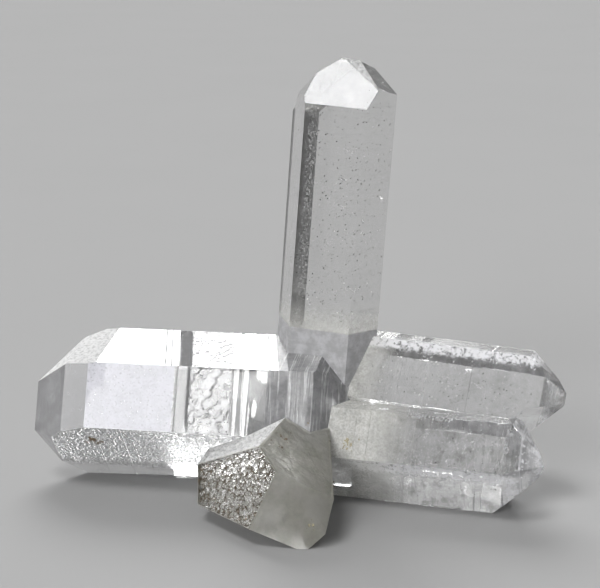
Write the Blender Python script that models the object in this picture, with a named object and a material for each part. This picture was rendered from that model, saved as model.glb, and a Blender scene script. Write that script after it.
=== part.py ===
"""A cluster of intergrown quartz crystals, joined into one faceted solid.

Each crystal is a six-sided blank cut by flat faces. A face is given by the side of the
prism that it stands over, by its slope to the crystal's long axis, and by its distance
from the crystal's centre, which is how crystals are measured.
Lengths are in millimetres and angles in degrees; the scene is in metres.
"""
import math

import bmesh
import bpy
from mathutils import Matrix, Vector

MM = 0.001

# Faces that every quartz crystal has
SIDES = 6
SIDE_TURN = 360.0 / SIDES
END_SLOPE = 38.2
BLUNT_SLOPE = 57.6
BACKWARD = -90.0

# Blank that the faces are cut from
BLANK_RADIUS = 16.0
BLANK_LENGTH = 120.0

# How near a corner may lie to a cut and still be on it, in metres
CUT_NEARNESS = 1e-7

# Thick crystal lying to the left, with its tip at the left
LEFT_CENTRE = (-14.3, 11.0, 10.7)
LEFT_AIM = (169.0, -0.5, 21.0)
LEFT_PRISM = (10.4, 9.5, 9.7, 10.0, 9.9, 9.2)
LEFT_END = (
    (0, 18.0, 14.6), (0, END_SLOPE, 19.0),
    (1, 10.0, 11.8), (1, END_SLOPE, 18.5),
    (2, END_SLOPE, 17.7), (3, END_SLOPE, 11.4), (4, END_SLOPE, 20.4),
    (5, 24.0, 17.5), (5, 32.0, 18.9),
)
LEFT_ROOT = (
    (0, -58.0, 20.9), (1, -50.0, 20.2), (5, -58.0, 21.3), (0, BACKWARD, 23.0),
)

# Slender crystal that stands up from the middle
TALL_CENTRE = (5.3, 11.0, 40.0)
TALL_AIM = (0.0, 86.0, -16.5)
TALL_PRISM = (5.9, 7.0, 6.3, 6.2, 6.7, 6.6)
TALL_END = (
    (0, END_SLOPE, 14.7), (1, END_SLOPE, 16.9), (2, END_SLOPE, 16.2),
    (3, BLUNT_SLOPE, 18.7), (4, END_SLOPE, 14.0), (5, 32.0, 14.7),
)
TALL_ROOT = ((0, BACKWARD, 34.0),)

# Upper one of the parallel pair that points right
UPPER_CENTRE = (15.0, 6.8, 15.9)
UPPER_AIM = (-21.0, -1.5, 29.4)
UPPER_PRISM = (5.7, 6.0, 4.3, 5.4, 6.3, 3.9)
UPPER_END = (
    (0, END_SLOPE, 15.3), (1, 42.0, 16.5), (2, END_SLOPE, 14.8),
    (3, END_SLOPE, 15.7), (4, END_SLOPE, 16.6), (5, END_SLOPE, 15.1),
)
UPPER_ROOT = ((0, BACKWARD, 17.0),)

# Lower one of the pair, which lies on a flat prism side
LOWER_CENTRE = (15.0, 1.8, 6.9)
LOWER_AIM = (-18.0, 0.0, 30.0)
LOWER_PRISM = (6.3, 6.9, 6.6, 6.5, 6.8, 6.8)
LOWER_END = (
    (0, 21.0, 11.5), (0, END_SLOPE, 15.5), (1, 44.0, 14.6), (2, BLUNT_SLOPE, 15.6),
    (3, BLUNT_SLOPE, 16.25), (4, 44.0, 16.4), (5, END_SLOPE, 16.5),
)
LOWER_ROOT = ((0, BACKWARD, 14.0),)

# Short broken stub at the front: the way each face looks (compass, height) and its distance
STUB_CENTRE = (-3.0, -9.0, 6.0)
STUB_ETCHED_END = (-140.0, 27.0, 5.9)
STUB_SMOOTH_SIDE = (-93.0, 14.0, 7.7)
STUB_OTHER_FACES = (
    (5.0, -15.0, 6.4), (9.0, -49.0, 6.2), (-141.0, -61.0, 7.2), (170.0, -10.0, 11.6),
    (170.0, 63.0, 6.4), (-32.0, 65.0, 5.1), (90.0, 0.0, 15.0), (0.0, -90.0, 6.0),
)
STUB_BLANK = 60.0

QUARTZ_COLOUR = (0.86, 0.87, 0.88, 1.0)
QUARTZ_ROUGHNESS = 0.12
QUARTZ_IOR = 1.544


def clear_scene():
    for item in list(bpy.data.objects):
        bpy.data.objects.remove(item, do_unlink=True)


def new_collection(name):
    collection = bpy.data.collections.new(name)
    bpy.context.scene.collection.children.link(collection)
    return collection


def quartz_material():
    material = bpy.data.materials.new("quartz")
    material.use_nodes = True
    shader = material.node_tree.nodes["Principled BSDF"]
    shader.inputs["Base Color"].default_value = QUARTZ_COLOUR
    shader.inputs["Roughness"].default_value = QUARTZ_ROUGHNESS
    shader.inputs["Metallic"].default_value = 0.0
    shader.inputs["IOR"].default_value = QUARTZ_IOR
    shader.inputs["Transmission Weight"].default_value = 1.0
    return material


def cut_face(bm, normal, distance):
    """Slice off what lies past a plane and close the cut with one flat face."""
    everything = bm.verts[:] + bm.edges[:] + bm.faces[:]
    result = bmesh.ops.bisect_plane(
        bm, geom=everything, dist=CUT_NEARNESS, plane_co=normal * distance, plane_no=normal,
        clear_outer=True,
    )
    rim = [part for part in result["geom_cut"] if isinstance(part, bmesh.types.BMEdge)]
    if rim:
        bmesh.ops.edgeloop_fill(bm, edges=rim)


def face_normal(side, slope):
    """Outward direction of a face that stands over a prism side, with the axis along +Z."""
    turn = math.radians(side * SIDE_TURN)
    lean = math.radians(slope)
    flat = math.cos(lean)
    return Vector((flat * math.cos(turn), flat * math.sin(turn), math.sin(lean)))


def aim_matrix(heading, pitch, roll):
    """Turn +Z to a compass heading and pitch, then roll side 0 round from facing -Y."""
    heading, pitch, roll = (math.radians(angle) for angle in (heading, pitch, roll))
    level = math.cos(pitch)
    axis = Vector((level * math.cos(heading), level * math.sin(heading), math.sin(pitch)))
    toward = Vector((0.0, -1.0, 0.0))
    front = (toward - axis * toward.dot(axis)).normalized()
    front = Matrix.Rotation(roll, 3, axis) @ front
    across = axis.cross(front)
    return Matrix((front, across, axis)).transposed()


def link_mesh(bm, name, collection, material):
    bmesh.ops.recalc_face_normals(bm, faces=bm.faces[:])
    mesh = bpy.data.meshes.new(name)
    bm.to_mesh(mesh)
    bm.free()
    mesh.materials.append(material)
    item = bpy.data.objects.new(name, mesh)
    collection.objects.link(item)
    return item


def crystal(name, centre, aim, prism, end, root, collection, material):
    """One crystal: six prism sides, the faces of its tip, and the faces of its root."""
    bm = bmesh.new()
    radius = BLANK_RADIUS * MM
    bmesh.ops.create_cone(
        bm, cap_ends=True, segments=SIDES, radius1=radius, radius2=radius,
        depth=BLANK_LENGTH * MM,
    )
    for side, distance in enumerate(prism):
        cut_face(bm, face_normal(side, 0.0), distance * MM)
    for side, slope, distance in end + root:
        cut_face(bm, face_normal(side, slope), distance * MM)
    item = link_mesh(bm, name, collection, material)
    item.location = Vector(centre) * MM
    item.rotation_euler = aim_matrix(*aim).to_euler()
    return item


def stub(name, collection, material):
    """The broken stub: a block cut by the faces that it shows."""
    bm = bmesh.new()
    bmesh.ops.create_cube(bm, size=STUB_BLANK * MM)
    for compass, height, distance in (STUB_ETCHED_END, STUB_SMOOTH_SIDE) + STUB_OTHER_FACES:
        turn = math.radians(compass)
        rise = math.radians(height)
        flat = math.cos(rise)
        normal = Vector((flat * math.cos(turn), flat * math.sin(turn), math.sin(rise)))
        cut_face(bm, normal, distance * MM)
    item = link_mesh(bm, name, collection, material)
    item.location = Vector(STUB_CENTRE) * MM
    return item


def join(base, others):
    """Union the other crystals into the base, which stays one closed body."""
    for other in others:
        other.hide_render = True
        other.display_type = "WIRE"
        union = base.modifiers.new("join_" + other.name, "BOOLEAN")
        union.operation = "UNION"
        union.object = other


def stand_on_origin(base, holder):
    """Move the holder so that the cluster's box stands centred on the world's origin."""
    bpy.context.view_layer.update()
    shape = base.evaluated_get(bpy.context.evaluated_depsgraph_get())
    corners = [shape.matrix_world @ vertex.co for vertex in shape.data.vertices]
    low = Vector([min(corner[axis] for corner in corners) for axis in range(3)])
    high = Vector([max(corner[axis] for corner in corners) for axis in range(3)])
    holder.location = (-(low.x + high.x) / 2, -(low.y + high.y) / 2, -low.z)


def main():
    clear_scene()
    cluster_parts = new_collection("quartz_crystal_cluster")
    joined_parts = new_collection("joined_crystals")
    quartz = quartz_material()
    base = crystal("quartz_cluster", LEFT_CENTRE, LEFT_AIM, LEFT_PRISM, LEFT_END,
                   LEFT_ROOT, cluster_parts, quartz)
    tall = crystal("tall_crystal", TALL_CENTRE, TALL_AIM, TALL_PRISM, TALL_END,
                   TALL_ROOT, joined_parts, quartz)
    upper = crystal("upper_crystal", UPPER_CENTRE, UPPER_AIM, UPPER_PRISM, UPPER_END,
                    UPPER_ROOT, joined_parts, quartz)
    lower = crystal("lower_crystal", LOWER_CENTRE, LOWER_AIM, LOWER_PRISM, LOWER_END,
                    LOWER_ROOT, joined_parts, quartz)
    front_stub = stub("front_stub", joined_parts, quartz)
    holder = bpy.data.objects.new("cluster_origin", None)
    cluster_parts.objects.link(holder)
    for item in (base, tall, upper, lower, front_stub):
        item.parent = holder
    join(base, (tall, upper, lower, front_stub))
    stand_on_origin(base, holder)


main()
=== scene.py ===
"""Looks of a cluster of intergrown quartz crystals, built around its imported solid."""
import math
import random

import bmesh
import bpy
from mathutils import Matrix, Vector, noise
from mathutils.bvhtree import BVHTree


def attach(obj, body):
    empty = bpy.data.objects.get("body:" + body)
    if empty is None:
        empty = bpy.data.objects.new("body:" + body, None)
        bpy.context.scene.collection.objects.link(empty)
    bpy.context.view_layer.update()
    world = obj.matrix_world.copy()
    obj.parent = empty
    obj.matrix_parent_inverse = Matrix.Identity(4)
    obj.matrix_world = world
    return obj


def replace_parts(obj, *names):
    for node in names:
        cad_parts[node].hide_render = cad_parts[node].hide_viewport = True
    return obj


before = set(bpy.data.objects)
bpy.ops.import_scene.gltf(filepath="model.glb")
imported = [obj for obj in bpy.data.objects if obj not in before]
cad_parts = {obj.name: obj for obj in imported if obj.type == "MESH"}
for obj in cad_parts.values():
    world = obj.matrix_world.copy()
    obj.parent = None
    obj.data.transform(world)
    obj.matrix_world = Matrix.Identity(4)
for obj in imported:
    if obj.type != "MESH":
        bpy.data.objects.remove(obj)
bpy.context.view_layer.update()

bl_info = {
    "name": "Quartz Crystal Cluster",
    "version": (1, 0, 0),
    "blender": (4, 5, 0),
    "location": "View3D > Sidebar > Quartz",
    "description": "Models and shades a cluster of intergrown quartz crystals",
    "category": "Add Mesh",
}

MM = 0.001
NODE = "quartz_cluster"
BODY = "root"

# Angles of quartz
SIDES = 6
SIDE_TURN = 360.0 / SIDES
HALF_SIDE = math.tan(math.radians(SIDE_TURN / 2.0))

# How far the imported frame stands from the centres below, in millimetres
FRAME_SHIFT = Vector((0.93, -2.253, 0.004))


class Crystal:
    """A crystal's axes, as the solid has them: its centre, its aim and its prism sides."""

    def __init__(self, centre, aim, prism):
        self.centre = (Vector(centre) + FRAME_SHIFT) * MM
        heading, pitch, roll = (math.radians(angle) for angle in aim)
        level = math.cos(pitch)
        self.axis = Vector((level * math.cos(heading), level * math.sin(heading),
                            math.sin(pitch)))
        toward = Vector((0.0, -1.0, 0.0))
        front = (toward - self.axis * toward.dot(self.axis)).normalized()
        self.front = Matrix.Rotation(roll, 3, self.axis) @ front
        self.across = self.axis.cross(self.front)
        self.prism = [distance * MM for distance in prism]

    def normal(self, side, slope=0.0):
        """Outward direction of the face over one prism side."""
        turn = math.radians(side * SIDE_TURN)
        lean = math.radians(slope)
        flat = math.cos(turn) * self.front + math.sin(turn) * self.across
        return math.cos(lean) * flat + math.sin(lean) * self.axis

    def along(self, point):
        """How far along the axis a point lies, in millimetres from the centre."""
        return (point - self.centre).dot(self.axis) / MM

    def sideways(self, point):
        """How far a point lies from the axis."""
        local = point - self.centre
        return (local - self.axis * local.dot(self.axis)).length

    def depth(self, point, side):
        """How far a point lies under one prism side."""
        return self.prism[side] - (point - self.centre).dot(self.normal(side))

    def spot(self, along, side, across, depth=0.0):
        """A place by a side: along the axis, across the side and under it, in millimetres."""
        out = self.normal(side)
        return (self.centre + self.axis * along * MM + self.axis.cross(out) * across * MM
                + out * (self.prism[side] - depth * MM))

    def edge(self, side):
        """Direction across a side, and how far its edge lies from the side's middle."""
        return self.axis.cross(self.normal(side)), self.prism[side] * HALF_SIDE

    def turned(self):
        """Rotation that lays a pattern's Z along the axis and its X out of side 0."""
        return Matrix((self.front, self.across, self.axis)).transposed()


LEFT = Crystal((-14.3, 11.0, 10.7), (169.0, -0.5, 21.0), (10.4, 9.5, 9.7, 10.0, 9.9, 9.2))
TALL = Crystal((5.3, 11.0, 40.0), (0.0, 86.0, -16.5), (5.9, 7.0, 6.3, 6.2, 6.7, 6.6))
UPPER = Crystal((15.0, 6.8, 15.9), (-21.0, -1.5, 29.4), (5.7, 6.0, 4.3, 5.4, 6.3, 3.9))
LOWER = Crystal((15.0, 1.8, 6.9), (-18.0, 0.0, 30.0), (6.3, 6.9, 6.6, 6.5, 6.8, 6.8))
CRYSTALS = {"left": LEFT, "tall": TALL, "upper": UPPER, "lower": LOWER}


class QuartzLook(bpy.types.PropertyGroup):
    """Sizes and colours of the quartz"""

    edge_width: bpy.props.FloatProperty(
        name="Edge Wear", description="Width of the worn line along each crystal edge",
        default=0.00007, min=0.0, unit="LENGTH")
    step_scale: bpy.props.FloatProperty(
        name="Growth Steps", description="How deep the growth steps are cut",
        default=1.0, min=0.0, subtype="FACTOR")
    seed: bpy.props.IntProperty(
        name="Seed", description="Chooses where the small steps and flaws lie", default=7)
    milk: bpy.props.FloatVectorProperty(
        name="Milky Colour", description="Colour of the cloudy foot",
        default=(0.125, 0.122, 0.100), subtype="COLOR")
    stain: bpy.props.FloatVectorProperty(
        name="Stain Colour", description="Colour of the brown specks",
        default=(0.09, 0.065, 0.04), subtype="COLOR")


class QuartzStage(bpy.types.PropertyGroup):
    """Sizes and light of the stage"""

    floor_tone: bpy.props.FloatProperty(
        name="Floor Tone", description="How pale the floor is", default=0.255,
        min=0.0, max=1.0, subtype="FACTOR")
    back_light: bpy.props.FloatProperty(
        name="Back Light", description="Brightness of the room behind", default=0.45, min=0.0)
    front_light: bpy.props.FloatProperty(
        name="Front Light", description="Brightness of the room in front", default=0.25,
        min=0.0)


# Shader maths

def grey(tone):
    return tone, tone, tone, 1.0


def shaded(colour, share=1.0):
    """A colour made darker or paler."""
    return *(min(1.0, part * share) for part in colour), 1.0


QUARTZ_IOR = 1.544
# Colour and density of the light that clear quartz takes away
ABSORB = ((0.80, 0.81, 0.80, 1.0), 4.0)
WHITE = grey(1.0)
GREY_MARK = (0.40, 0.40, 0.38, 1.0)
FROST = (0.86, 0.86, 0.88, 1.0)
FROSTED = (0.97, 0.97, 0.98, 1.0)
LILAC = (0.66, 0.66, 0.71, 1.0)
SMOKY = (0.87, 0.87, 0.865, 1.0)
CLOUD = (0.60, 0.595, 0.56, 1.0)
PALE_CLOUD = (0.78, 0.78, 0.76, 1.0)
EVEN = (1.0, 1.0, 1.0)


class Shade:
    """Wraps a shader socket so that sums on it add their Math nodes."""

    def __init__(self, kit, socket):
        self.kit = kit
        self.socket = socket

    def maths(self, operation, first, second):
        return self.kit.node("ShaderNodeMath", {"operation": operation}, {0: first, 1: second})

    def __add__(self, other):
        return self.maths("ADD", self, other)

    __radd__ = __add__

    def __sub__(self, other):
        return self.maths("SUBTRACT", self, other)

    def __rsub__(self, other):
        return self.maths("SUBTRACT", other, self)

    def __mul__(self, other):
        return self.maths("MULTIPLY", self, other)

    __rmul__ = __mul__

    def above(self, low, high):
        """0 under low, 1 over high, smooth between."""
        return self.kit.node("ShaderNodeMapRange", {"interpolation_type": "SMOOTHSTEP"},
                             {"Value": self, "From Min": low, "From Max": high})

    def below(self, low, high):
        """1 under low, 0 over high."""
        return 1.0 - self.above(low, high)

    def most(self, other):
        return self.maths("MAXIMUM", self, other)


class Nodes:
    """Adds nodes to one node tree."""

    def __init__(self, tree):
        self.tree = tree
        tree.nodes.clear()

    def node(self, kind, settings, inputs, output=0):
        """Add one node: its settings first, then the values or links of its sockets."""
        made = self.tree.nodes.new(kind)
        for name, value in settings.items():
            setattr(made, name, value)
        for name, value in inputs.items():
            self.feed(made.inputs[name], value)
        return Shade(self, made.outputs[output])

    def feed(self, socket, value):
        if isinstance(value, Shade):
            self.tree.links.new(value.socket, socket)
        else:
            socket.default_value = value

    def dot(self, first, second):
        """How far one direction agrees with another."""
        return self.node("ShaderNodeVectorMath", {"operation": "DOT_PRODUCT"},
                         {0: first, 1: second}, "Value")


class Kit(Nodes):
    """Adds the nodes of one material, with patterns laid along one crystal."""

    def __init__(self, name, crystal=None):
        self.material = bpy.data.materials.new(name)
        self.material.use_nodes = True
        super().__init__(self.material.node_tree)
        self.out = self.tree.nodes.new("ShaderNodeOutputMaterial")
        self.place = self.node("ShaderNodeTexCoord", {}, {}, "Object")
        if crystal:
            # A Texture mapping turns the object's coordinates into the crystal's own
            self.place = self.node("ShaderNodeMapping", {"vector_type": "TEXTURE"},
                                   {"Vector": self.place,
                                    "Location": tuple(crystal.centre),
                                    "Rotation": tuple(crystal.turned().to_euler())})

    def along(self):
        """Millimetres along the crystal's axis from its centre."""
        return self.dot(self.place, (0.0, 0.0, 1.0 / MM))

    def out_of(self, side):
        """Millimetres from the crystal's axis towards one side."""
        turn = math.radians(side * SIDE_TURN)
        return self.dot(self.place, (math.cos(turn) / MM, math.sin(turn) / MM, 0.0))

    def stretched(self, size, stretch, warp=None):
        """The place in units of size millimetres, stretched along each axis."""
        factors = tuple(part / (size * MM) for part in stretch)
        place = self.place
        if warp:
            place = self.node("ShaderNodeVectorMath", {"operation": "ADD"},
                              {0: place, 1: warp})
        return self.node("ShaderNodeVectorMath", {"operation": "MULTIPLY"},
                         {0: place, 1: factors})

    def fuzz(self, size, detail=3.0, rough=0.55, stretch=EVEN):
        """Cloudy noise whose lumps are about size millimetres across, from 0 to 1."""
        return self.node("ShaderNodeTexNoise", {"noise_dimensions": "3D"},
                         {"Vector": self.stretched(size, stretch), "Scale": 1.0,
                          "Detail": detail, "Roughness": rough}, "Fac")

    def warp(self, size, reach):
        """A shift that makes straight patterns ragged."""
        colour = self.node("ShaderNodeTexNoise", {"noise_dimensions": "3D"},
                           {"Vector": self.stretched(size, EVEN), "Scale": 1.0,
                            "Detail": 2.0}, "Color")
        middle = self.node("ShaderNodeVectorMath", {"operation": "SUBTRACT"},
                           {0: colour, 1: (0.5, 0.5, 0.5)})
        return self.node("ShaderNodeVectorMath", {"operation": "SCALE"},
                         {0: middle, "Scale": reach * MM})

    def cells(self, size, feature, stretch=EVEN, warp=None):
        """Distances in random cells about size millimetres across."""
        return self.node("ShaderNodeTexVoronoi", {"feature": feature},
                         {"Vector": self.stretched(size, stretch, warp), "Scale": 1.0},
                         "Distance")

    def sunk(self):
        """How deep the carved relief lies, in millimetres."""
        return self.node("ShaderNodeAttribute", {"attribute_name": "sunk"}, {}, "Fac")

    def lines(self, spacing, sharp=0.6):
        """Growth lines that run across a side, as ridges of uneven width."""
        return self.fuzz(spacing, 3.0, sharp, (0.03, 0.03, 1.0))

    def blend(self, factor, first, second):
        """One colour into another."""
        return self.node("ShaderNodeMix", {"data_type": "RGBA"},
                         {"Factor": factor, 6: first, 7: second}, 2)

    def bump(self, height, strength, distance):
        """A surface raised by a pattern, by up to distance millimetres."""
        return self.node("ShaderNodeBump", {}, {"Height": height, "Strength": strength,
                                                "Distance": distance * MM})

    def principled(self, inputs):
        return self.node("ShaderNodeBsdfPrincipled", {}, inputs)

    def mix(self, share, first, second):
        """Two finishes, the second by its share."""
        return self.node("ShaderNodeMixShader", {}, {0: share, 1: first, 2: second})

    def glass(self, roughness, normal, tint=WHITE):
        return self.principled({"Base Color": tint, "Roughness": roughness,
                                "IOR": QUARTZ_IOR, "Transmission Weight": 1.0,
                                "Normal": normal})

    def frost(self, normal, colour=FROST, share=0.5):
        """White etching that scatters light to both sides."""
        lit = self.node("ShaderNodeBsdfDiffuse", {}, {"Color": colour, "Normal": normal})
        through = self.node("ShaderNodeBsdfTranslucent", {},
                            {"Color": colour, "Normal": normal})
        return self.mix(share, lit, through)

    def finish(self, shader, clear=False):
        """The material with this surface, and with the quartz's absorption if it is clear."""
        self.feed(self.out.inputs["Surface"], shader)
        if clear:
            fog = self.node("ShaderNodeVolumeAbsorption", {},
                            {"Color": ABSORB[0], "Density": ABSORB[1]})
            self.feed(self.out.inputs["Volume"], fog)
        return self.material

    def frosted(self, share, roughness, normal, frost, tint=WHITE):
        """Clear quartz that turns to frost by its share."""
        return self.finish(self.mix(share, self.glass(roughness, normal, tint), frost), True)


# Finishes

def marked(kit, amount, tint=WHITE, dark_patches=0.0):
    """A tint with fine dark marks, as dust and tiny inclusions leave, and wide darker patches.
    """
    marks = kit.fuzz(0.28, 4.0, 0.7).above(0.62, 0.70)
    scratch = kit.fuzz(0.35, 3.0, 0.7, (1.0, 0.35, 0.8)).above(0.66, 0.72)
    dark_marks = marks.most(scratch) * amount
    # Wide darker patches, blended in by their own share
    if dark_patches:
        dark_marks = dark_marks.most(kit.fuzz(2.2, 6.0, 0.75).above(0.46, 0.66) * dark_patches)
    return kit.blend(dark_marks, tint, GREY_MARK)


def clear_quartz(name, crystal, haze, marks=0.5, lines=0.15, cloud=None, grain=0.5,
                 tint=WHITE, dark_patches=0.0, ridge=None, bloom=0.0):
    """See-through quartz with faint growth lines, dust, marks and a little haze.

    It may cloud over towards its root, and whiten under the ridge of one side.
    """
    kit = Kit(name, crystal)
    ridges = kit.lines(0.5)
    waves = kit.fuzz(2.0, 3.0, 0.6)
    grit = kit.fuzz(0.3, 3.0, 0.6)
    normal = kit.bump(ridges * 0.5 + waves * 0.3 + grit * grain, 0.5, 0.014)
    dust = kit.fuzz(0.5, 5.0, 0.7).above(0.58, 0.72)
    rough = 0.05 + dust * 0.15
    wisps = kit.fuzz(2.5, 4.0, 0.65).above(0.42, 0.75)
    share = (wisps + dust) * haze + ridges.above(0.5, 0.7) * lines * 0.5 + haze * 0.3 + bloom
    if ridge:
        side, low, high, amount = ridge
        torn = kit.fuzz(0.7, 5.0, 0.75).above(0.38, 0.56)
        share = share + kit.out_of(side).above(low, high) * torn * amount
    look_through = kit.glass(rough, normal, marked(kit, marks, tint, dark_patches))
    both = kit.mix(share, look_through, kit.frost(normal))
    if cloud:
        cloudy = kit.along().below(*cloud) * (kit.fuzz(1.2, 5.0, 0.7) * 0.9 + 0.25)
        both = kit.mix(cloudy, both, kit.frost(normal, kit.blend(grit.above(0.35, 0.7),
                                                                 CLOUD, PALE_CLOUD), 0.4))
    return kit.finish(both, True)


def sheen_quartz(name, crystal, haze, roughness, bloom=0.05):
    """Smooth bright side with a pale mottled bloom."""
    kit = Kit(name, crystal)
    grit = kit.fuzz(0.4, 4.0, 0.65)
    normal = kit.bump(kit.lines(0.7) * 0.3 + grit * 0.7, 0.4, 0.005)
    patch = kit.fuzz(3.0, 6.0, 0.85).above(0.35, 0.65)
    share = patch * haze - grit.above(0.56, 0.66) * bloom * 0.6 + bloom
    return kit.frosted(share, roughness, normal, kit.frost(normal, LILAC, 0.1),
                       marked(kit, 0.3))


def terraced_quartz(name, crystal):
    """Carved growth plates: white bloom, and grey where they step down."""
    kit = Kit(name, crystal)
    normal = kit.bump(kit.fuzz(0.3, 3.0, 0.6), 0.4, 0.004)
    bloom = kit.fuzz(1.2, 4.0, 0.7).above(0.35, 0.6) * 0.25
    share = bloom + 0.18 - kit.sunk().above(0.06, 0.15) * 0.1
    return kit.frosted(share, 0.08, normal, kit.frost(normal, FROSTED, 0.1))


def sparkling_quartz(name, crystal):
    """Lower side: speckled near its upper edge, smooth towards the floor."""
    kit = Kit(name, crystal)
    high = kit.out_of(0).above(0.8, 3.8)
    facets = kit.cells(0.38, "F1", (1.0, 1.0, 0.8), kit.warp(0.6, 0.4))
    grit = kit.fuzz(0.25, 3.0, 0.6)
    relief = (facets * 0.7 + grit * 0.4) * high + kit.lines(0.6) * 0.03
    normal = kit.bump(relief, 1.0, 0.20)
    glint = kit.fuzz(0.4, 5.0, 0.75).above(0.42, 0.55) * high
    share = glint * 0.45 + high * 0.30 + 0.12
    return kit.frosted(share, high * 0.05 + 0.10, normal, kit.frost(normal, FROSTED, 0.85),
                       marked(kit, 0.3))


def speckled_quartz(name, crystal):
    """Top side of a clear crystal: bright broken patches along its front edge."""
    kit = Kit(name, crystal)
    ragged = kit.fuzz(1.2, 5.0, 0.75, (1.0, 1.0, 0.5))
    grit = kit.fuzz(0.25, 4.0, 0.7)
    normal = kit.bump(ragged * 0.6 + grit * 0.5, 0.6, 0.02)
    near = kit.out_of(5).above(2.0, 3.8)
    share = ragged.above(0.44, 0.54) * grit.above(0.35, 0.65) * near * 0.65 + 0.05
    return kit.frosted(share, 0.15, normal, kit.frost(normal, FROSTED, 0.3), marked(kit, 0.6))


def contact_quartz(name, crystal, share_low, tone, streak=0.8):
    """Grey uneven quartz where crystals grew into each other."""
    kit = Kit(name, crystal)
    lumps = kit.cells(1.3, "SMOOTH_F1", EVEN, kit.warp(1.5, 0.8))
    grit = kit.fuzz(0.6, 4.0, 0.6)
    streaks = kit.lines(0.35, 0.7)
    normal = kit.bump(lumps * 0.3 + grit * 0.5 + streaks * streak, 0.6, 0.10)
    share = kit.fuzz(1.5, 4.0, 0.65).above(0.35, 0.7) * 0.3 + share_low
    tone = kit.blend(streaks.above(0.54, 0.62) * streak, tone, FROSTED)
    return kit.frosted(share, 0.15, normal, kit.frost(normal, tone), marked(kit, 0.5))


def shadowed_quartz(name, crystal):
    """Back side with a stripe of painted shade, dark and finely mottled, that fades away from
    its edge.
    """
    kit = Kit(name, crystal)
    grain = kit.fuzz(0.3, 6.0, 0.9, (1.0, 1.0, 0.7))
    edge = kit.out_of(5).above(1.5, 6.2)
    fade = kit.along().above(-24.0, -2.0) * 0.5 + 0.4
    dark = (grain + edge * 0.25).above(0.42, 0.52) * fade
    # A black diffuse coat: painted shade laid over the stripe
    painted_shade = kit.node("ShaderNodeBsdfDiffuse", {}, {"Color": (0.07, 0.07, 0.065, 1.0)})
    return kit.frosted(dark, 0.12, kit.bump(grain, 0.3, 0.01), painted_shade)


def broken_quartz(name, crystal):
    """Chipped, crumbled quartz, white where it is crushed."""
    kit = Kit(name, crystal)
    grit = kit.fuzz(0.5, 5.0, 0.7)
    normal = kit.bump(grit, 0.6, 0.04)
    share = grit.above(0.40, 0.55) * 0.3 + 0.6
    return kit.frosted(share, 0.12, normal, kit.frost(normal, grey(0.95)))


def milky_quartz(name, milk, clarity=0.5, grain=0.3):
    """Cloudy warm grey quartz that lets only a little light through."""
    kit = Kit(name)
    cloud = kit.fuzz(3.0, 4.0, 0.6)
    grit = kit.fuzz(0.5, 4.0, 0.7)
    normal = kit.bump(cloud * 0.4 + grit * 0.6, 0.5, 0.06)
    tone = kit.blend(cloud.above(0.3, 0.7), shaded(milk), shaded(milk, 1.15))
    tone = kit.blend(grit.above(0.5, 0.7), tone, shaded(milk, 1.0 - grain))
    body = kit.principled({"Base Color": tone, "Roughness": 0.45, "IOR": QUARTZ_IOR,
                           "Specular IOR Level": 0.3, "Subsurface Weight": 0.5,
                           "Subsurface Scale": 0.002,
                           "Subsurface Radius": (1.0, 1.0, 0.9), "Normal": normal})
    see = kit.glass(0.3, normal, (0.90, 0.89, 0.85, 1.0))
    return kit.finish(kit.mix(cloud.above(0.3, 0.8) * 0.3 + clarity, see, body))


def etched_quartz(name, milk, stain):
    """Etched broken end of the foot: grey, with glints from its bumps, painted white glint
    lines along ragged rims, and darker in its deepest pits and thin seams.
    """
    kit = Kit(name)
    cloud = kit.fuzz(0.8, 5.0, 0.75)
    grit = kit.fuzz(0.3, 3.0, 0.6)
    normal = kit.bump(grit, 0.9, 0.10)
    tone = kit.blend(cloud.above(0.40, 0.60), shaded(milk, 0.5), shaded(milk, 1.3))
    broken = kit.fuzz(0.9, 4.0, 0.7)
    edges = "DISTANCE_TO_EDGE"
    seams = kit.cells(1.0, edges, EVEN, kit.warp(0.7, 0.7)).below(0.03, 0.11)
    # Ragged cell rims where white is painted in as glints
    painted_glint_rims = kit.cells(0.8, edges, EVEN, kit.warp(0.5, 0.6)).below(0.03, 0.10)
    # Darker, in the speck colour, in the deepest pits and along thin seams
    pit = (kit.sunk() + grit * 0.30).above(0.66, 0.74)
    dark_marks = pit.most(seams * broken.above(0.42, 0.50))
    # Painted glint lines: white tone along the rims, where the crumbled patches are few
    tone = kit.blend(painted_glint_rims * broken.below(0.40, 0.46), tone, FROSTED)
    tone = kit.blend(dark_marks, tone, shaded(stain, 0.6))
    body = kit.principled({"Base Color": tone, "Roughness": 0.15, "IOR": QUARTZ_IOR,
                           "Normal": normal})
    see = kit.glass(0.05, normal, (0.93, 0.92, 0.88, 1.0))
    return kit.finish(kit.mix(cloud.above(0.3, 0.8) * 0.3 + dark_marks * 0.6 + 0.35, see, body))


def crushed_quartz(name):
    """White splinters of crushed quartz, lit through."""
    kit = Kit(name)
    grit = kit.fuzz(0.2, 3.0, 0.6)
    return kit.finish(kit.frost(kit.bump(grit, 0.5, 0.03), (0.95, 0.95, 0.96, 1.0)))


def crack_quartz(name):
    """Thin cracks full of air, which flash where they mirror a lamp."""
    kit = Kit(name)
    normal = kit.bump(kit.fuzz(0.6, 3.0, 0.6), 0.6, 0.03)
    gap = kit.node("ShaderNodeBsdfGlass", {}, {"Color": WHITE, "Roughness": 0.05,
                                               "IOR": 1.0 / QUARTZ_IOR, "Normal": normal})
    return kit.finish(gap)


def plain_finish(name, colour, roughness=0.6):
    """Dirt and sealed grains: one uneven, dull colour."""
    kit = Kit(name)
    grit = kit.fuzz(0.2, 4.0, 0.7)
    tone = kit.blend(grit.above(0.35, 0.7), shaded(colour), shaded(colour, 2.2))
    return kit.finish(kit.principled({"Base Color": tone, "Roughness": roughness,
                                      "Normal": kit.bump(grit, 0.6, 0.05)}))


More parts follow.
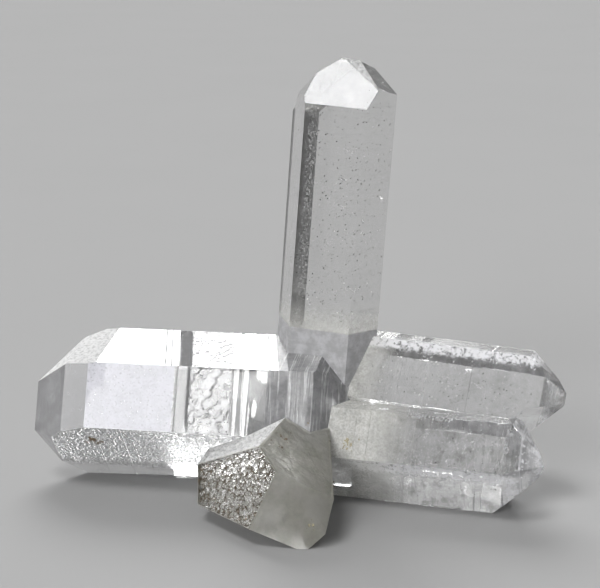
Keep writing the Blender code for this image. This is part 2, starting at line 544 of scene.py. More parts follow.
# Mesh work

PRISM, TIP, ROOT, FOOT, EDGE, ETCH, RIND, CHIP, TERRACE, CRUSHED = range(10)
WELD = 1e-6
TINY = 1e-7
# How far two triangles of one flat face of the solid may differ, in degrees
FLAT_ANGLE = 0.4
# How well a face must match a crystal's side or end to be taken for it
SIDE_MATCH = 0.99995
SIDE_GAP = 0.03
END_MATCH = 0.9999
LEAST_SLOPE = 8.0
END_REACH = 11.0


def merged_copy(name):
    """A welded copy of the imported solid, its flat faces made whole again."""
    bm = bmesh.new()
    bm.from_mesh(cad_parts[name].data)
    bmesh.ops.remove_doubles(bm, verts=bm.verts[:], dist=WELD)
    bmesh.ops.dissolve_limit(bm, angle_limit=math.radians(FLAT_ANGLE), verts=bm.verts[:],
                             edges=bm.edges[:])
    bm.normal_update()
    return bm


def owner(face):
    """Which crystal a face belongs to, its side there, and its kind."""
    centre = face.calc_center_median()
    for number, crystal in enumerate(CRYSTALS.values()):
        for side in range(SIDES):
            level = face.normal.dot(crystal.normal(side)) > SIDE_MATCH
            if level and abs(crystal.depth(centre, side)) < SIDE_GAP * MM:
                return number, side, PRISM
    best = None
    for number, crystal in enumerate(CRYSTALS.values()):
        slope = math.degrees(math.asin(max(-1.0, min(1.0, face.normal.dot(crystal.axis)))))
        away = crystal.sideways(centre)
        if abs(slope) < LEAST_SLOPE or away > END_REACH * MM:
            continue
        for side in range(SIDES):
            if face.normal.dot(crystal.normal(side, slope)) > END_MATCH:
                if best is None or away < best[0]:
                    best = away, number, side, TIP if slope > 0 else ROOT
    if best:
        return best[1:]
    return 0, 0, FOOT


STEP_WIDTH = 0.06


def step_plan(chance, spans):
    """Depth of a side's growth steps as knots, (along, depth), in millimetres.

    A span has its ends, how many strips, how deep they go, and how far they may tilt.
    """
    knots = []
    for start, finish, count, deepest, tilt in spans:
        places = sorted(chance.uniform(start, finish) for _ in range(count + 1))
        for place, following in zip(places, places[1:]):
            length = following - place
            if length < 3.0 * STEP_WIDTH:
                continue
            near = chance.uniform(0.0, deepest)
            far = max(0.0, near + length * math.tan(math.radians(chance.uniform(-tilt, tilt))))
            knots += [(place, 0.0), (place + STEP_WIDTH, near),
                      (following - 2.0 * STEP_WIDTH, far), (following - STEP_WIDTH, 0.0)]
    return knots


def strip_knots(strips):
    """Knots of strips given as (from, to, depth at the first end, depth at the other)."""
    knots = []
    for start, finish, near, far in strips:
        knots += [(start, 0.0), (start + STEP_WIDTH, near), (finish - STEP_WIDTH, far),
                  (finish, 0.0)]
    return knots


def depth_at(knots, along):
    """Depth of a side's growth steps at a place along the axis, in millimetres."""
    for (place, depth), (following, after) in zip(knots, knots[1:]):
        if place <= along <= following and following > place:
            return depth + (after - depth) * (along - place) / (following - place)
    return 0.0


# Where growth strips crowd on each side: from, to, how many, how deep, how tilted
GROWTH = {
    "left": {0: ((4.5, 13.5, 3, 0.012, 0.2), (-17.0, -12.2, 9, 0.06, 6.0)),
             1: ((4.5, 12.0, 4, 0.012, 0.4), (-16.0, -9.9, 6, 0.06, 5.0)),
             2: ((-20.0, 14.0, 14, 0.08, 3.0),), 3: ((-20.0, 4.0, 8, 0.08, 3.0),),
             4: ((-20.0, 15.0, 10, 0.05, 2.0),),
             5: ((-8.5, 2.0, 8, 0.06, 4.0), (2.5, 19.0, 8, 0.03, 1.0))},
    "tall": {side: ((-22.0, 12.0, 5, 0.004, 0.1),) for side in range(SIDES)},
    "upper": {0: ((-5.0, 16.0, 9, 0.03, 2.0),), 1: ((12.0, 17.0, 3, 0.03, 2.0),),
              2: ((-7.0, 17.0, 10, 0.06, 3.0),), 3: ((-7.0, 17.0, 10, 0.06, 3.0),),
              4: ((-5.0, 17.0, 10, 0.04, 3.0),), 5: ((-6.0, 17.5, 9, 0.03, 0.8),)},
    "lower": {0: ((-12.0, 14.0, 10, 0.05, 2.0),), 1: ((-12.0, 12.0, 8, 0.02, 0.5),),
              2: ((-12.0, 13.0, 10, 0.05, 3.0),), 3: ((-7.0, 13.0, 9, 0.05, 3.0),),
              4: ((-8.0, 15.0, 8, 0.05, 3.0),), 5: ((-9.0, 16.0, 14, 0.06, 4.0),)},
}

# Strips read off the left crystal: from, to, and the depth at either end
BARS = {
    0: ((-10.65, -9.2, 0.0, 0.22), (-8.45, -7.65, 0.0, 0.12), (-7.1, -6.5, 0.0, 0.08),
        (-0.15, 1.85, 0.02, 0.08), (1.95, 2.2, 0.03, 0.0)),
    1: ((-10.65, -9.9, 0.0, 0.08), (-8.45, -7.65, 0.0, 0.10), (-7.1, -6.5, 0.0, 0.06),
        (-0.15, 1.85, 0.02, 0.45), (2.9, 3.1, 0.05, 0.0), (3.8, 4.0, 0.04, 0.0)),
}


def step_plans(look):
    """The knots of every side by crystal: grown by chance, read off the photo, or cuts only."""
    chance = random.Random(look.seed)
    plans = {name: {side: step_plan(chance, spans) for side, spans in sides.items()}
             for name, sides in GROWTH.items()}
    for side, strips in BARS.items():
        plans["left"][side] += strip_knots(strips) + [(TERRACES[0], 0.0), (CONTACT_FROM, 0.0)]
    for knots in plans["tall"].values():
        knots.append((TALL_ROOT_FROM, 0.0))
    for sides in plans.values():
        for side, knots in sides.items():
            sides[side] = sorted((place, depth * look.step_scale) for place, depth in knots)
    return plans


def part_of(faces):
    """The faces with their edges and corners, as an operator takes them."""
    parts = list(faces)
    parts += list({edge for face in faces for edge in face.edges})
    parts += list({vert for face in faces for vert in face.verts})
    return parts


# How far the growth lines of the sides lean off the square; the others are square
LEANS = {("left", 1): -0.24}


def step_place(name, side, point):
    """Where a point lies along the growth lines of a side, in millimetres."""
    crystal = CRYSTALS[name]
    across, corner = crystal.edge(side)
    shift = ((point - crystal.centre).dot(across) + corner) / MM
    return crystal.along(point) + LEANS.get((name, side), 0.0) * shift


def cut_across(bm, faces, point, direction):
    """Cut faces by a plane, and return them with the new ones."""
    result = bmesh.ops.bisect_plane(bm, geom=part_of(faces), dist=TINY, plane_co=point,
                                    plane_no=direction)
    return [item for item in result["geom"] if isinstance(item, bmesh.types.BMFace)]


def grow_steps(bm, tags, plans):
    """Cut each side across its axis and sink the strips between the cuts."""
    crystal_tag, side_tag, kind_tag = tags
    for number, (name, crystal) in enumerate(CRYSTALS.items()):
        for side, steps in plans[name].items():
            faces = [face for face in bm.faces if face[kind_tag] == PRISM
                     and face[crystal_tag] == number and face[side_tag] == side]
            faces += list({other for face in faces for edge in face.edges
                           for other in edge.link_faces if other[kind_tag] == EDGE})
            across, corner = crystal.edge(side)
            direction = crystal.axis + across * LEANS.get((name, side), 0.0)
            for place, _ in steps:
                point = crystal.centre + crystal.axis * place * MM - across * corner
                faces = cut_across(bm, faces, point, direction)
    moves = []
    for vert in bm.verts:
        sides = set()
        free = True
        for face in vert.link_faces:
            if face[kind_tag] == PRISM:
                sides.add((face[crystal_tag], face[side_tag]))
            elif face[kind_tag] != EDGE:
                free = False
        if not free or not sides or len({number for number, _ in sides}) > 1 or len(sides) > 2:
            continue
        number = next(iter(sides))[0]
        name, crystal = list(CRYSTALS.items())[number]
        depths = [(crystal.normal(side),
                   depth_at(plans[name].get(side, ()), step_place(name, side, vert.co)))
                  for _, side in sides]
        if len(depths) == 1:
            normal, depth = depths[0]
            move = normal * -depth
        else:
            (first, first_depth), (second, second_depth) = depths
            lean = first.dot(second)
            share = 1.0 - lean * lean
            move = (first * (first_depth - lean * second_depth)
                    + second * (second_depth - lean * first_depth)) * (-1.0 / share)
        moves.append((vert, move * MM))
    for vert, move in moves:
        vert.co += move


# Edges that wear: how sharp in degrees, and how long in millimetres
WORN_ANGLE = 15.0
WORN_LENGTH = 1.0


def wear_edges(bm, width):
    """Wear a thin line along the crystals' outer edges."""
    sharp = [edge for edge in bm.edges if edge.is_manifold and edge.is_convex
             and edge.calc_face_angle() > math.radians(WORN_ANGLE)
             and edge.calc_length() > WORN_LENGTH * MM]
    bmesh.ops.bevel(bm, geom=sharp, offset=width, offset_type="OFFSET", affect="EDGES",
                    segments=1, profile=0.5, material=-1, clamp_overlap=True)
    bmesh.ops.remove_doubles(bm, verts=bm.verts[:], dist=TINY)
    bm.normal_update()


# Where the left crystal's front changes, in millimetres along its axis
TERRACES = (-6.4, -0.2)
SHEEN_FROM = 2.25
CONTACT_FROM = -11.5
SMOOTH_FROM = -13.2
TALL_ROOT_FROM = -16.3
FRONT_SIDES = (5, 0, 1)
# The finish of special kinds of face, and of prism sides and ends by crystal and side
KIND_FINISH = {ETCH: "etched", RIND: "root", CHIP: "tall_clear", TERRACE: "terraced",
               CRUSHED: "broken", ROOT: "contact"}
PRISM_FINISH = {("left", 5): "sparkling", ("left", 4): "left_under", ("tall", 4): "shadowed",
                ("upper", 4): "upper_top", ("lower", 0): "lower_front"}
TIP_FINISH = {("left", 1): "broken", ("tall", 0): "tall_tip", "left": "left_tip",
              "lower": "lower_tip"}


def material_for(face, tags):
    """The finish of a face by its crystal, side and place."""
    crystal_tag, side_tag, kind_tag = tags
    kind = face[kind_tag]
    side = face[side_tag]
    name, crystal = list(CRYSTALS.items())[face[crystal_tag]]
    plain = name + "_clear"
    if kind in KIND_FINISH:
        return KIND_FINISH[kind]
    if kind == FOOT:
        return "milky" if face.normal.z < 0.5 else "root"
    if kind == TIP:
        return TIP_FINISH.get((name, side), TIP_FINISH.get(name, plain))
    centre = face.calc_center_median()
    if name == "left" and side in (0, 1):
        step = step_place(name, side, centre)
        if step > SHEEN_FROM:
            return ("sheen", "blazing")[side]
        if step > TERRACES[1]:
            return "left_tip"
        if step > TERRACES[0]:
            return "terraced"
        if step < (CONTACT_FROM, SMOOTH_FROM)[side]:
            return "contact"
    if name == "tall" and side in FRONT_SIDES and crystal.along(centre) < TALL_ROOT_FROM:
        return "tall_root"
    return PRISM_FINISH.get((name, side), plain)


PIT_SIZE = 0.9
PIT_DEPTH = 0.85
LUMP_SIZE = 1.6
LUMP_DEPTH = 0.30
TERRACE_SIZE = 2.4
TERRACE_LEVELS = 4.0
TERRACE_DEPTH = 0.06
TERRACE_ROUNDS = 5
CRUMB_SIZE = 0.6
CRUMB_DEPTH = 0.16
# Areas of the chips that crumble, in square millimetres
CRUMBLED = (0.4, 8.0)


def pits(place):
    """Depth of angular pits, in millimetres."""
    turned = Matrix.Rotation(0.6, 3, Vector((0.3, 0.8, 0.5))) @ (place / (PIT_SIZE * MM))
    wide = noise.voronoi(turned, distance_metric="CHEBYCHEV")[0][0]
    small = noise.voronoi(turned * 2.7, distance_metric="CHEBYCHEV")[0][0]
    return PIT_DEPTH * (wide * 0.8 + small * 0.3)


def lumps(place):
    """Depth between rounded lumps, in millimetres."""
    scaled = place / (LUMP_SIZE * MM)
    wide = noise.fractal(scaled, 0.8, 2.2, 4)
    return LUMP_DEPTH * min(1.0, max(0.0, 0.45 + wide * 0.5))


def terraces(place):
    """Depth of ragged growth plates that climb slantwise, in millimetres."""
    along = LEFT.along(place)
    rise = (place - LEFT.centre).dot(LEFT.across) / MM
    slanted = Vector((along + 0.8 * rise, 0.35 * rise, 0.0)) / TERRACE_SIZE
    ragged = noise.fractal(place / (0.8 * MM), 0.8, 2.0, 4)
    level = TERRACE_LEVELS * (0.5 + 0.5 * noise.noise(slanted)) + 0.6 * ragged
    return TERRACE_DEPTH * max(0, math.floor(level))


def crumbs(place):
    """Depth of the crumbled surface of a chip, in millimetres."""
    return CRUMB_DEPTH * (1.0 + noise.fractal(place / (CRUMB_SIZE * MM), 0.8, 2.0, 3))


# How far a fine triangle may stray from its flat face, in millimetres
LEVEL_GAP = 0.01


def roughen(bm, tags, face, kind, rounds, margin, depth_of):
    """Break one flat face into fine triangles and sink them, inside a narrow margin."""
    crystal_tag, side_tag, kind_tag = tags
    number, side = face[crystal_tag], face[side_tag]
    inward = -face.normal.copy()
    sunk = bm.verts.layers.float["sunk"]
    bmesh.ops.inset_individual(bm, faces=[face], thickness=margin * MM, depth=0.0)
    centre = face.calc_center_median()

    def fine_faces():
        return [item for item in bm.faces if item[kind_tag] == kind
                and item[crystal_tag] == number and item[side_tag] == side
                and abs((item.calc_center_median() - centre).dot(inward)) < LEVEL_GAP * MM]

    for fan in bmesh.ops.poke(bm, faces=[face])["faces"]:
        fan[crystal_tag], fan[side_tag], fan[kind_tag] = number, side, kind
    mine = fine_faces()
    for _ in range(rounds):
        edges = list({edge for item in mine for edge in item.edges})
        bmesh.ops.subdivide_edges(bm, edges=edges, cuts=1, use_grid_fill=True)
        mine = fine_faces()
    chosen = set(mine)
    inner = [vert for vert in {vert for item in mine for vert in item.verts}
             if all(item in chosen for item in vert.link_faces)]
    for vert in inner:
        depth = depth_of(vert.co)
        vert.co += inward * depth * MM
        vert[sunk] = depth


def carve_terraces(bm, tags):
    """Carve the left crystal's middle into ragged growth plates."""
    crystal_tag, side_tag, kind_tag = tags
    for side in (0, 1):
        faces = [face for face in bm.faces if face[kind_tag] == PRISM
                 and face[crystal_tag] == 0 and face[side_tag] == side
                 and TERRACES[0] < step_place("left", side, face.calc_center_median())
                 < TERRACES[1]]
        largest = max(faces, key=lambda face: face.calc_area())
        roughen(bm, tags, largest, TERRACE, TERRACE_ROUNDS, 0.04, terraces)


def crumble_chips(bm, tags):
    """Roughen the small chips of the standing crystal's tip."""
    least, most = (area * MM * MM for area in CRUMBLED)
    chips = [face for face in bm.faces if face[tags[2]] == CHIP
             and least < face.calc_area() < most]
    for number, chip in enumerate(chips):
        chip[tags[1]] = number
        roughen(bm, tags, chip, CRUSHED, 4, 0.03, crumbs)


# The foot's faces that are roughened: the way it looks, kind, rounds, margin and relief
FOOT_FACES = (((-0.68, -0.57, 0.45), ETCH, 6, 0.12, pits),
              ((-0.45, 0.08, 0.89), CRUSHED, 5, 0.05, pits),
              ((0.36, -0.22, 0.91), RIND, 5, 0.10, lumps))


def etch_foot(bm, tags):
    """Etch the foot's broken end and roughen its top, where it grew into the others."""
    for toward, kind, rounds, margin, relief in FOOT_FACES:
        way = Vector(toward).normalized()
        largest = max((face for face in bm.faces if face[tags[2]] == FOOT
                       and face.normal.dot(way) > 0.97), key=lambda face: face.calc_area())
        roughen(bm, tags, largest, kind, rounds, margin, relief)


# Cuts that chip the standing crystal's tip: where the plane passes, and which way it looks
CHIPS = (((8.6, 6.4, 62.05), (0.55, -0.30, 0.78)), ((4.4, 7.4, 62.0), (-0.65, -0.10, 0.75)),
         ((6.6, 7.6, 62.25), (0.05, -0.35, 0.94)), ((8.1, 7.1, 61.75), (0.22, -0.50, 0.83)))


def chip_tip(bm, tags):
    """Break the standing crystal's tip with small flat cuts."""
    kind_tag = tags[2]
    for place, toward in CHIPS:
        normal = Vector(toward).normalized()
        cut = bmesh.ops.bisect_plane(bm, geom=bm.verts[:] + bm.edges[:] + bm.faces[:],
                                     dist=TINY, plane_co=Vector(place) * MM, plane_no=normal,
                                     clear_outer=True)["geom_cut"]
        rim = [item for item in cut if isinstance(item, bmesh.types.BMEdge)]
        if not rim:
            continue
        for face in bmesh.ops.edgeloop_fill(bm, edges=rim)["faces"]:
            face.normal_update()
            if face.normal.dot(normal) < 0:
                face.normal_flip()
            face[kind_tag] = CHIP


def add_piece(bm, name, materials):
    """Make the mesh a piece of the stone, with its materials."""
    mesh = bpy.data.meshes.new(name)
    bm.to_mesh(mesh)
    bm.free()
    for material in materials:
        mesh.materials.append(material)
    item = bpy.data.objects.new(name, mesh)
    bpy.context.scene.collection.objects.link(item)
    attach(item, BODY)
    return item


# Foot faces smaller than this are edges, in square millimetres
LEAST_FOOT = 3.0


class QUARTZ_OT_crystals(bpy.types.Operator):
    """Build the crystals with their growth steps, worn edges and finishes"""

    bl_idname = "quartz.crystals"
    bl_label = "Build Crystals"

    def execute(self, context):
        look = context.scene.quartz_look
        bm = merged_copy(NODE)
        tags = [bm.faces.layers.int.new(name) for name in ("crystal", "side", "kind")]
        kind_tag = tags[2]
        bm.verts.layers.float.new("sunk")
        chip_tip(bm, tags)
        wear_edges(bm, look.edge_width)
        for face in bm.faces:
            if face[kind_tag] != CHIP:
                for tag, value in zip(tags, owner(face)):
                    face[tag] = value
                if face[kind_tag] == FOOT and face.calc_area() < LEAST_FOOT * MM * MM:
                    face[kind_tag] = EDGE
        grow_steps(bm, tags, step_plans(look))
        bm.normal_update()
        carve_terraces(bm, tags)
        etch_foot(bm, tags)
        crumble_chips(bm, tags)
        bm.normal_update()
        materials = self.finishes(look)
        names = [material.name.partition(".")[0] for material in materials]
        edges = []
        for face in bm.faces:
            if face[kind_tag] == EDGE:
                edges.append(face)
            else:
                face.material_index = names.index(material_for(face, tags))
        for face in edges:
            near = max((other for edge in face.edges for other in edge.link_faces
                        if other[kind_tag] != EDGE), key=lambda item: item.calc_area(),
                       default=None)
            face.material_index = near.material_index if near else 0
        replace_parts(add_piece(bm, "crystals", materials), NODE)
        return {"FINISHED"}

    def finishes(self, look):
        """Every finish of the crystals, under the names that material_for gives."""
        milk = tuple(look.milk)
        return [
            clear_quartz("left_clear", LEFT, 0.08),
            clear_quartz("tall_clear", TALL, 0.03, 1.0, 0.10, (-18.5, -13.0), tint=SMOKY),
            clear_quartz("upper_clear", UPPER, 0.10, 1.0, 0.06, (-7.0, -1.0), 1.5,
                         dark_patches=0.4, ridge=(4, 4.6, 5.8, 1.6)),
            clear_quartz("lower_clear", LOWER, 0.12, 1.0, 0.25, (-5.0, 3.0), 1.5, dark_patches=1.0),
            sheen_quartz("sheen", LEFT, 0.20, 0.07, 0.60),
            terraced_quartz("terraced", LEFT),
            sparkling_quartz("sparkling", LEFT),
            contact_quartz("contact", LEFT, 0.55, (0.40, 0.40, 0.41, 1.0)),
            broken_quartz("broken", LEFT),
            milky_quartz("milky", milk),
            etched_quartz("etched", milk, tuple(look.stain)),
            sheen_quartz("blazing", LEFT, 0.2, 0.06),
            shadowed_quartz("shadowed", TALL),
            clear_quartz("lower_front", LOWER, 0.15, 0.5, 0.3, (-5.0, 3.0),
                         ridge=(5, 4.4, 6.2, 2.2)),
            milky_quartz("root", milk, 0.5, 0.3),
            sheen_quartz("tall_tip", TALL, 0.15, 0.08),
            clear_quartz("lower_tip", LOWER, 1.2, 0.3, 0.8, grain=2.5),
            contact_quartz("tall_root", TALL, 0.6, (0.72, 0.72, 0.74, 1.0), 0.15),
            clear_quartz("left_tip", LEFT, 0.12, 0.6, 0.1, grain=0.3, bloom=0.12),
            speckled_quartz("upper_top", UPPER),
            contact_quartz("left_under", LEFT, 0.6, grey(0.42), 0.1)]


# Stage

CAMERA_RISE = 14.0
CAMERA_AWAY = 234.0
CAMERA_AIM = Vector((0.0, 0.0, 30.6)) + FRAME_SHIFT
CAMERA_LENS = 100.0
SENSOR_WIDTH = 36.0
NEAREST_SEEN = 0.01
FLOOR_HALF = 4.0
# Each lamp: where it stands, how far its full and its fading light reach in degrees, strength
LAMPS = (((-0.05, 0.745, 0.665), 12.0, 16.0, 16.0),
         ((-0.27, -0.25, 0.93), 8.0, 12.0, 17.0),
         ((-0.46, -0.80, 0.38), 12.0, 15.0, 14.5),
         ((0.03, 0.995, 0.07), 6.0, 10.0, 9.0))


class QUARTZ_OT_stage(bpy.types.Operator):
    """Set the pale floor, the soft light and the camera"""

    bl_idname = "quartz.stage"
    bl_label = "Set Stage"

    def execute(self, context):
        stage = context.scene.quartz_stage
        self.floor(stage)
        self.lights(stage)
        self.camera(context)
        context.scene.view_settings.view_transform = "Standard"
        return {"FINISHED"}

    def floor(self, stage):
        bm = bmesh.new()
        bmesh.ops.create_grid(bm, x_segments=1, y_segments=1, size=FLOOR_HALF)
        mesh = bpy.data.meshes.new("floor")
        bm.to_mesh(mesh)
        bm.free()
        kit = Kit("floor_grey")
        tone = kit.blend(kit.fuzz(60.0, 2.0), grey(stage.floor_tone),
                         grey(stage.floor_tone * 1.03))
        mesh.materials.append(kit.finish(kit.principled({
            "Base Color": tone, "Roughness": 0.9, "Specular IOR Level": 0.0})))
        item = bpy.data.objects.new("floor", mesh)
        bpy.context.scene.collection.objects.link(item)

    def lights(self, stage):
        """A dim room with round lamps behind, above and at the front left."""
        world = bpy.data.worlds.new("studio")
        world.use_nodes = True
        kit = Nodes(world.node_tree)
        way = kit.node("ShaderNodeTexCoord", {}, {}, "Generated")
        room = kit.dot(way, (0.0, 1.0, 0.0)).above(-0.9, 0.4)
        total = room * (stage.back_light - stage.front_light) + stage.front_light
        for toward, inner, outer, strength in LAMPS:
            spread = kit.dot(way, tuple(Vector(toward).normalized()))
            edge = spread.above(math.cos(math.radians(outer)), math.cos(math.radians(inner)))
            total = total + edge * strength
        background = kit.node("ShaderNodeBackground", {}, {"Color": (1.0, 1.0, 1.0, 1.0),
                                                            "Strength": total})
        out = kit.tree.nodes.new("ShaderNodeOutputWorld")
        kit.feed(out.inputs["Surface"], background)
        bpy.context.scene.world = world

    def camera(self, context):
        camera = bpy.data.cameras.new("camera")
        camera.lens = CAMERA_LENS
        camera.sensor_width = SENSOR_WIDTH
        camera.clip_start = NEAREST_SEEN
        item = bpy.data.objects.new("camera", camera)
        item.location = camera_axes()[0]
        item.rotation_euler = (math.radians(90.0 - CAMERA_RISE), 0.0, 0.0)
        bpy.context.scene.collection.objects.link(item)
        context.scene.camera = item


IMAGE_WIDTH = 600
IMAGE_HEIGHT = 588


def camera_axes():
    """Where the camera stands, and its right, up and forward directions."""
    rise = math.radians(CAMERA_RISE)
    forward = Vector((0.0, math.cos(rise), -math.sin(rise)))
    right = Vector((1.0, 0.0, 0.0))
    return CAMERA_AIM * MM - forward * CAMERA_AWAY * MM, right, right.cross(forward), forward


def seen_at(tree, across, down):
    """The place on the quartz under a pixel of the photograph, and its normal."""
    start, right, up, forward = camera_axes()
    reach = SENSOR_WIDTH / CAMERA_LENS
    ray = (forward + right * (across / IMAGE_WIDTH - 0.5) * reach
           + up * (0.5 * IMAGE_HEIGHT / IMAGE_WIDTH - down / IMAGE_WIDTH) * reach).normalized()
    place, normal, _, _ = tree.ray_cast(start, ray)
    if place is None:
        raise ValueError(f"no quartz under pixel {across}, {down}")
    return place, normal, ray


def quartz_tree():
    """The finished crystals, for finding places on them."""
    return BVHTree.FromObject(bpy.data.objects["crystals"],
                              bpy.context.evaluated_depsgraph_get())


def pebble(bm, place, axes, size, chance, ragged=0.25, rounds=2):
    """Add one uneven lump: its three half sizes lie along three axes."""
    made = bmesh.ops.create_icosphere(bm, subdivisions=rounds, radius=1.0)["verts"]
    offset = Vector((chance.uniform(0, 99), chance.uniform(0, 99), chance.uniform(0, 99)))
    for vert in made:
        grown = 1.0 + ragged * noise.noise(vert.co * 1.7 + offset)
        vert.co = place + sum((axis * part * length * grown for axis, part, length
                               in zip(axes, vert.co, size)), Vector()) * MM


def any_way(chance):
    """A direction drawn at random."""
    return Vector([chance.uniform(-1.0, 1.0) for _ in range(3)]).normalized()


def facing_axes(normal, turn=0.0):
    """Three square directions, the last along the normal."""
    first = normal.orthogonal().normalized()
    first = Matrix.Rotation(turn, 3, normal) @ first
    return first, normal.cross(first), normal


# Brown specks of the photograph: pixel across, pixel down, half size in millimetres
SPECKS = ((281, 436, 0.35), (286, 439, 0.45), (271, 440, 0.22), (282, 447.6, 0.30),
          (308, 423, 0.22), (260, 454, 0.22), (277, 433, 0.20), (291, 433, 0.25),
          (94, 440, 0.80), (90, 438, 0.50), (99, 443, 0.50), (87, 442, 0.35),
          (202, 470, 0.25), (207, 466, 0.20), (216, 500, 0.25), (228, 512, 0.22),
          (246, 519, 0.25), (262, 478, 0.20), (333, 482, 0.30), (330, 441, 0.18),
          (301, 96, 0.12), (199, 480, 0.22), (239, 505, 0.2), (255, 515, 0.2))
# Each speck is one grain with smaller ones strewn beside it, up to this many half sizes away
GRAINS = 4
STREWN = 1.6
# Yellow-brown rough spots, and how much paler they are than the specks in each colour
SPOTS = ((347, 441, 0.75), (351, 445, 0.45), (344, 446, 0.35), (313, 525, 0.40),
         (309, 526, 0.22), (334, 486, 0.35))
SPOT_TINT = (2.0, 2.5, 2.7)
# Crushed white flakes: pixel across, down, half length, half height, depth
FLAKES = ((408, 345, 1.1, 0.6, 0.15), (402, 348, 0.6, 0.4, 0.1), (434, 352, 1.4, 0.7, 0.15),
          (429, 350, 0.7, 0.5, 0.1), (472, 354, 1.3, 0.6, 0.12), (484, 356, 1.1, 0.7, 0.12),
          (500, 359, 1.4, 0.6, 0.12), (511, 434, 0.8, 0.7, 0.1), (383, 410, 0.9, 0.35, 0.1),
          (512, 482, 1.0, 0.4, 0.1), (60, 442, 0.5, 0.7, 0.1), (520, 460, 0.5, 1.0, 0.15),
          (533, 363, 0.25, 0.8, 0.05), (506, 448, 0.5, 1.2, 0.2), (465, 418, 1.6, 0.3, 0.15),
          (440, 419, 1.5, 0.25, 0.12), (420, 417, 1.0, 0.25, 0.1), (370, 405, 0.9, 0.25, 0.1))
# Wispy veils deeper inside: pixel across, down, half length, half height, depth
VEILS = ((323, 185, 1.6, 0.5, 2.5), (340, 205, 2.0, 0.7, 3.0), (330, 243, 1.8, 0.7, 3.0),
         (352, 150, 1.6, 0.8, 4.0), (345, 290, 1.6, 1.0, 3.0), (440, 378, 3.0, 1.2, 2.0),
         (400, 372, 2.4, 1.4, 2.5), (405, 442, 2.0, 1.2, 2.0), (460, 440, 2.6, 1.0, 2.5),
         (300, 375, 1.8, 1.6, 2.0), (320, 370, 1.6, 1.8, 2.5))
# How many splinters make a flake or a veil, and how long they are against their width
SPLINTERS = 45
SPLINTER_LENGTH = 1.6
CRACK_THICKNESS = 0.03
# How far under the surface the flaws start, in millimetres
LEAST_DEPTH = 0.2
# Cracks that flash: pixel across, down, half length, half height, depth
CRACKS = ((380, 198, 0.45, 0.25, 0.6), (361, 221, 0.40, 0.15, 1.0), (344, 178, 0.5, 0.2, 2.0),
          (425, 436, 0.7, 0.3, 1.0), (398, 352, 0.8, 0.3, 0.5), (470, 372, 0.6, 0.3, 1.5),
          (366, 385, 0.3, 1.6, 0.5), (371, 362, 0.25, 0.8, 0.6), (284, 386, 0.35, 0.35, 0.3),
          (398, 378, 0.25, 1.0, 0.6), (350, 400, 0.3, 1.2, 0.6), (454, 445, 0.8, 0.3, 1.5),
          (313, 400, 0.5, 0.8, 1.0), (455, 470, 0.6, 0.15, 0.2))


class QUARTZ_OT_specks(bpy.types.Operator):
    """Set brown dirt and yellow spots into the pits of the quartz"""

    bl_idname = "quartz.specks"
    bl_label = "Build Specks"

    def execute(self, context):
        look = context.scene.quartz_look
        tree = quartz_tree()
        stain = tuple(look.stain)
        spot = tuple(part * shade for part, shade in zip(stain, SPOT_TINT))
        for name, colour, places in (("brown_specks", stain, SPECKS),
                                     ("yellow_spots", spot, SPOTS)):
            chance = random.Random(look.seed)
            bm = bmesh.new()
            for across, down, size in places:
                first, middle_normal, _ = seen_at(tree, across, down)
                for part in range(GRAINS):
                    place, normal, grain = first, middle_normal, size * 0.75
                    if part:
                        beside = Vector([chance.uniform(-STREWN, STREWN) * size
                                         for _ in range(3)])
                        place, normal, _, _ = tree.find_nearest(first + beside * MM)
                        grain = size * chance.uniform(0.2, 0.45)
                    pebble(bm, place - normal * grain * 0.15 * MM,
                           facing_axes(normal, chance.uniform(0.0, 3.0)),
                           (grain, grain * 0.7, grain * 0.3), chance, 0.9)
            add_piece(bm, name, [plain_finish(name, colour)])
        return {"FINISHED"}


class QUARTZ_OT_flaws(bpy.types.Operator):
    """Build the crushed flakes, wispy veils and flashing cracks inside the quartz"""

    bl_idname = "quartz.flaws"
    bl_label = "Build Flaws"

    def execute(self, context):
        look = context.scene.quartz_look
        tree = quartz_tree()
        for name, finish, places, slack, grain in (
                ("flakes", crushed_quartz, FLAKES, 0.2, (0.05, 0.16)),
                ("veils", crushed_quartz, VEILS, 0.9, (0.02, 0.05)),
                ("cracks", crack_quartz, CRACKS, 1.0, None)):
            chance = random.Random(look.seed)
            bm = bmesh.new()
            for across, down, length, height, depth in places:
                place, normal, ray = seen_at(tree, across, down)
                middle = place + ray * (depth + LEAST_DEPTH) * MM
                turn = Matrix.Rotation(chance.uniform(-slack, slack), 3, "X")
                facing = (turn @ (-ray if slack > 0.5 else normal)).normalized()
                flat = (Vector((1.0, 0.0, 0.0)) - facing * facing.x).normalized()
                flat = Matrix.Rotation(chance.uniform(-slack, slack), 3, facing) @ flat
                axes = (flat, facing.cross(flat), facing)
                if grain:
                    self.splinters(bm, middle, axes, (length, height), grain, chance)
                else:
                    pebble(bm, middle, axes, (length, height, CRACK_THICKNESS), chance,
                           0.6, 3)
            add_piece(bm, name, [finish(name)])
        return {"FINISHED"}

    def splinters(self, bm, middle, axes, reach, grain, chance):
        """Strew splinters over a gently bent sheet."""
        for _ in range(SPLINTERS):
            across = chance.gauss(0.0, 0.5)
            up = chance.gauss(0.0, 0.5)
            bend = 0.25 * math.sin(3.0 * across + up)
            place = middle + (axes[0] * across * reach[0] + axes[1] * up * reach[1]
                              + axes[2] * bend * reach[1]) * MM
            facing = any_way(chance)
            size = chance.uniform(*grain)
            pebble(bm, place, facing_axes(facing),
                   (size * SPLINTER_LENGTH, size, size * 0.25), chance, 0.8, 1)


# Where tiny inclusions hang: crystal, from, to along the axis, how many pale, how many dark
INCLUSIONS = (("tall", -15.0, 17.0, 60, 420), ("upper", -6.0, 18.0, 120, 260),
              ("lower", -9.0, 16.0, 220, 260), ("left", -18.0, 16.0, 60, 60))
INCLUSION_SIZE = (0.03, 0.09)


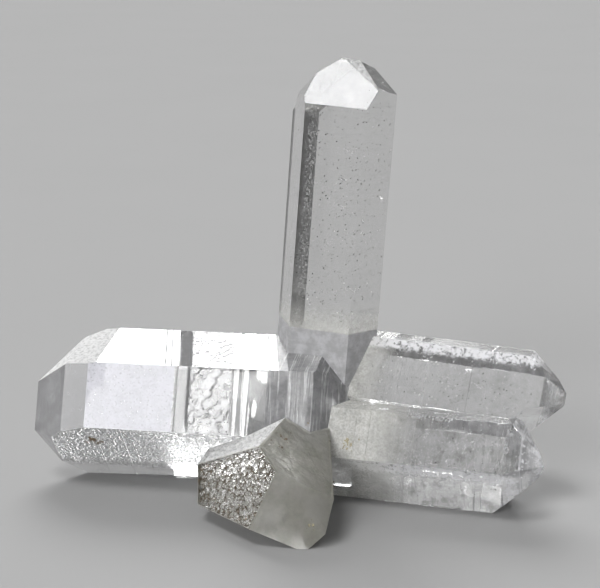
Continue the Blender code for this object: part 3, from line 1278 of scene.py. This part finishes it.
class QUARTZ_OT_inclusions(bpy.types.Operator):
    """Scatter tiny pale and dark inclusions through the crystals"""

    bl_idname = "quartz.inclusions"
    bl_label = "Build Inclusions"

    def execute(self, context):
        look = context.scene.quartz_look
        chance = random.Random(look.seed)
        pale = bmesh.new()
        dark = bmesh.new()
        for name, start, finish, pale_count, dark_count in INCLUSIONS:
            crystal = CRYSTALS[name]
            for number in range(pale_count + dark_count):
                side = chance.randrange(SIDES)
                reach = crystal.prism[side] / MM
                depth = chance.uniform(0.25, reach * 0.7)
                wide = (reach - depth) * HALF_SIDE
                place = crystal.spot(chance.uniform(start, finish), side,
                                     chance.uniform(-wide, wide), depth)
                facing = any_way(chance)
                size = chance.uniform(*INCLUSION_SIZE)
                pebble(pale if number < pale_count else dark, place,
                       facing_axes(facing), (size * 2.0, size, size * 0.5), chance, 0.5, 1)
        add_piece(pale, "pale_inclusions", [plain_finish("pale_specks", (0.8, 0.8, 0.8), 0.4)])
        add_piece(dark, "dark_inclusions", [plain_finish("dark_specks", (0.04, 0.04, 0.035))])
        return {"FINISHED"}


class QUARTZ_PT_panel(bpy.types.Panel):
    """Lists the steps that build the cluster"""

    bl_idname = "QUARTZ_PT_panel"
    bl_label = "Quartz Cluster"
    bl_space_type = "VIEW_3D"
    bl_region_type = "UI"
    bl_category = "Quartz"

    def draw(self, context):
        for step in STEPS:
            self.layout.operator(step.bl_idname)


STEPS = (QUARTZ_OT_crystals, QUARTZ_OT_specks, QUARTZ_OT_flaws, QUARTZ_OT_inclusions,
         QUARTZ_OT_stage)
CLASSES = (QuartzLook, QuartzStage) + STEPS + (QUARTZ_PT_panel,)


def register():
    for item in CLASSES:
        bpy.utils.register_class(item)
    bpy.types.Scene.quartz_look = bpy.props.PointerProperty(type=QuartzLook)
    bpy.types.Scene.quartz_stage = bpy.props.PointerProperty(type=QuartzStage)


def unregister():
    del bpy.types.Scene.quartz_look
    del bpy.types.Scene.quartz_stage
    for item in reversed(CLASSES):
        bpy.utils.unregister_class(item)


def main():
    register()
    bpy.ops.quartz.crystals()
    bpy.ops.quartz.specks()
    bpy.ops.quartz.flaws()
    bpy.ops.quartz.inclusions()
    bpy.ops.quartz.stage()


if __name__ == "__main__":
    main()
